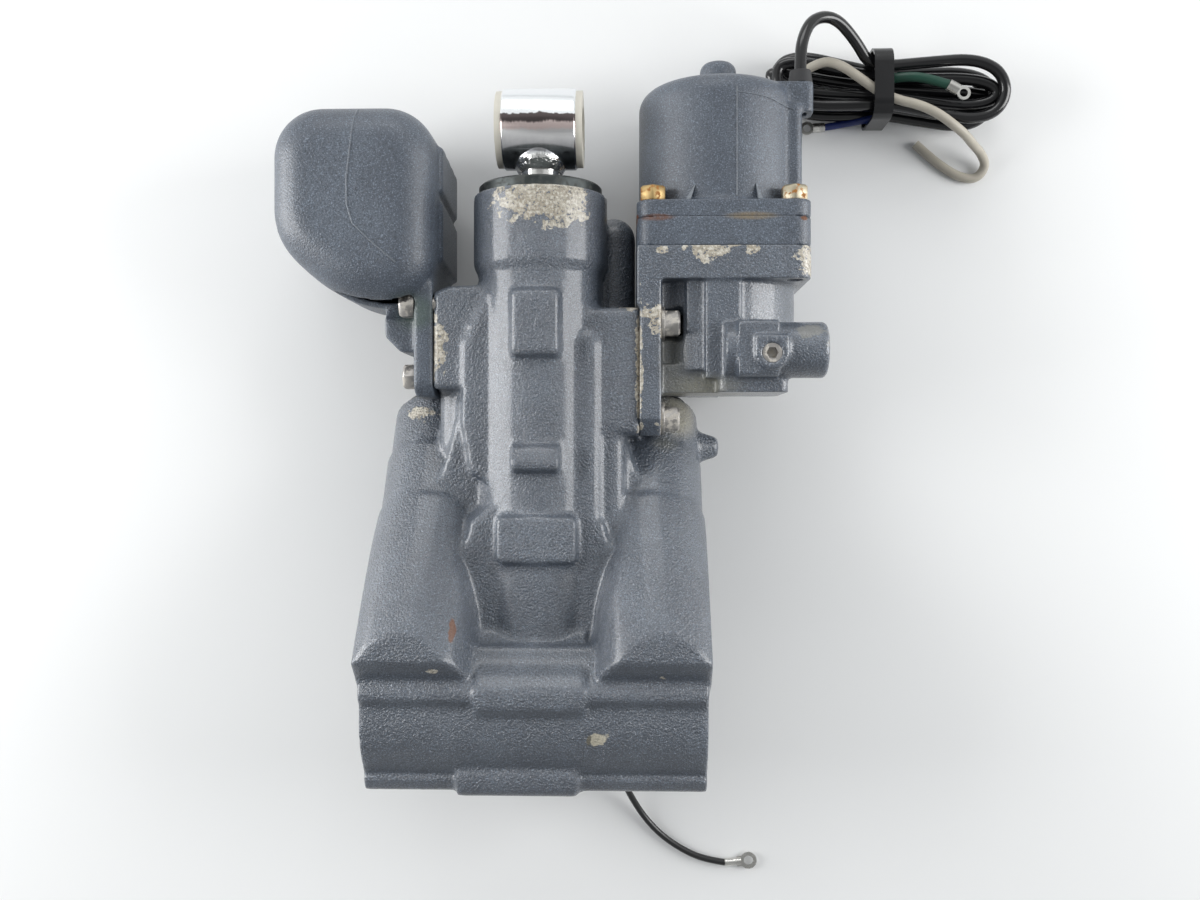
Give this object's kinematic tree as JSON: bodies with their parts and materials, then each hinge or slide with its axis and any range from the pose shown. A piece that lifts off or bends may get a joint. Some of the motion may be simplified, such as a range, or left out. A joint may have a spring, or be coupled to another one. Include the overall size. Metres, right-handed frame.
{
  "type": "power trim and tilt unit",
  "caption": "Hydraulic trim and tilt unit for an outboard motor: cast cylinder block with a tilt ram, side trim rams, reservoir, gear pump, electric motor and its bundled leads.",
  "frame": {"origin": "centre of the lower pivot bore, halfway between its two ends", "axes": "+X along the lower pivot bore towards the pump and motor side, +Y along the tilt cylinder towards the rod's eye, +Z away from the surface that the unit lies on"},
  "size_m": [0.383, 0.4613, 0.116],
  "materials": {
    "paint": "worn metallic paint",
    "paint_motor": "worn metallic paint",
    "tank": "satin painted moulding",
    "chrome": "polished",
    "steel": "turned",
    "zinc": "dull zinc plating",
    "dark": "blackened",
    "bush": "plain",
    "rubber": "plain",
    "brass": "turned",
    "copper": "lacquered wire",
    "iron": "laminated",
    "ferrite": "sintered",
    "carbon": "carbon",
    "sleeve": "glossy cable sleeve",
    "pale": "insulation",
    "blue": "insulation",
    "green": "insulation",
    "black": "insulation",
    "tinned": "tinned"
  },
  "bodies": {
    "housing": {"blue_lead": "blue", "blue_terminal": "tinned", "brush_plate": "carbon", "brush_springs": "steel", "brushes": "carbon", "cable_hank": "sleeve", "cable_tie": "black", "cylinder_casting": "paint", "earth_lead": "black", "earth_lug": "tinned", "earth_screw": "zinc", "earth_terminal": "tinned", "gear_cover": "steel", "gear_plate": "steel", "gear_screws": "steel", "green_lead": "green", "green_terminal": "tinned", "harness_lead": "sleeve", "magnets": "ferrite", "motor_base": "paint", "motor_bearings": "steel", "motor_bolts": "zinc", "motor_case": "paint_motor", "motor_grommet": "rubber", "pale_lead": "pale", "pivot_bushes": "bush", "port_seals": "rubber", "pump_bolts": "zinc", "pump_housing": "paint", "relief_ball": "steel", "relief_plug": "zinc", "relief_spring": "steel", "reservoir": "tank", "reservoir_bolts": "zinc", "rod_wipers": "rubber", "shaft_seal": "rubber", "tilt_gland": "dark", "trim_glands": "dark", "valve_clip": "steel"},
    "tilt_ram": {"tilt_rod": "chrome", "tilt_eye": "chrome", "eye_bushes": "bush", "tilt_piston": "steel", "tilt_piston_ring": "rubber", "tilt_nut": "steel"},
    "free_piston": {"free_piston": "steel", "free_piston_ring": "rubber"},
    "trim_ram_port": {"trim_rod_port": "chrome", "trim_piston_ring_port": "rubber"},
    "trim_ram_starboard": {"trim_rod_starboard": "chrome", "trim_piston_ring_starboard": "rubber"},
    "motor_rotor": {"armature_shaft": "steel", "armature_core": "iron", "windings": "copper", "commutator": "copper", "drive_coupling": "steel", "drive_gear": "steel"},
    "pump_gear": {"driven_gear": "steel"},
    "manual_valve": {"manual_valve": "brass"},
    "filler_plug": {"filler_plug": "rubber"}
  },
  "joints": [
    {"name": "tilt_slide", "type": "slide", "parent": "housing", "child": "tilt_ram", "axis": [0, 1, 0], "range_m": [0, 0.145]},
    {"name": "free_piston_slide", "type": "slide", "parent": "housing", "child": "free_piston", "axis": [0, 1, 0], "range_m": [0, 0.145]},
    {"name": "trim_slide_port", "type": "slide", "parent": "housing", "child": "trim_ram_port", "axis": [0, 0.848, -0.5299], "range_m": [0, 0.06]},
    {"name": "trim_slide_starboard", "type": "slide", "parent": "housing", "child": "trim_ram_starboard", "axis": [0, 0.848, -0.5299], "range_m": [0, 0.06]},
    {"name": "motor_spin", "type": "hinge", "parent": "housing", "child": "motor_rotor", "pos_m": [0.091, 0.25, -0.0175], "axis": [0, 1, 0], "continuous": true},
    {"name": "pump_gear_spin", "type": "hinge", "parent": "housing", "child": "pump_gear", "pos_m": [0.0743, 0.205, -0.0175], "axis": [0, 1, 0], "continuous": true},
    {"name": "manual_valve_turn", "type": "hinge", "parent": "housing", "child": "manual_valve", "pos_m": [0.13, 0.1855, 0.02], "axis": [1, 0, 0], "range_deg": [0, 1080]},
    {"name": "filler_plug_turn", "type": "hinge", "parent": "housing", "child": "filler_plug", "pos_m": [-0.092, 0.262, -0.052], "axis": [0, 0, -1], "range_deg": [0, 1080]}
  ],
  "couplings": [
    {"joint": "free_piston_slide", "follows": "tilt_slide", "ratio": 1},
    {"joint": "trim_slide_starboard", "follows": "trim_slide_port", "ratio": 1},
    {"joint": "pump_gear_spin", "follows": "motor_spin", "ratio": -1}
  ]
}
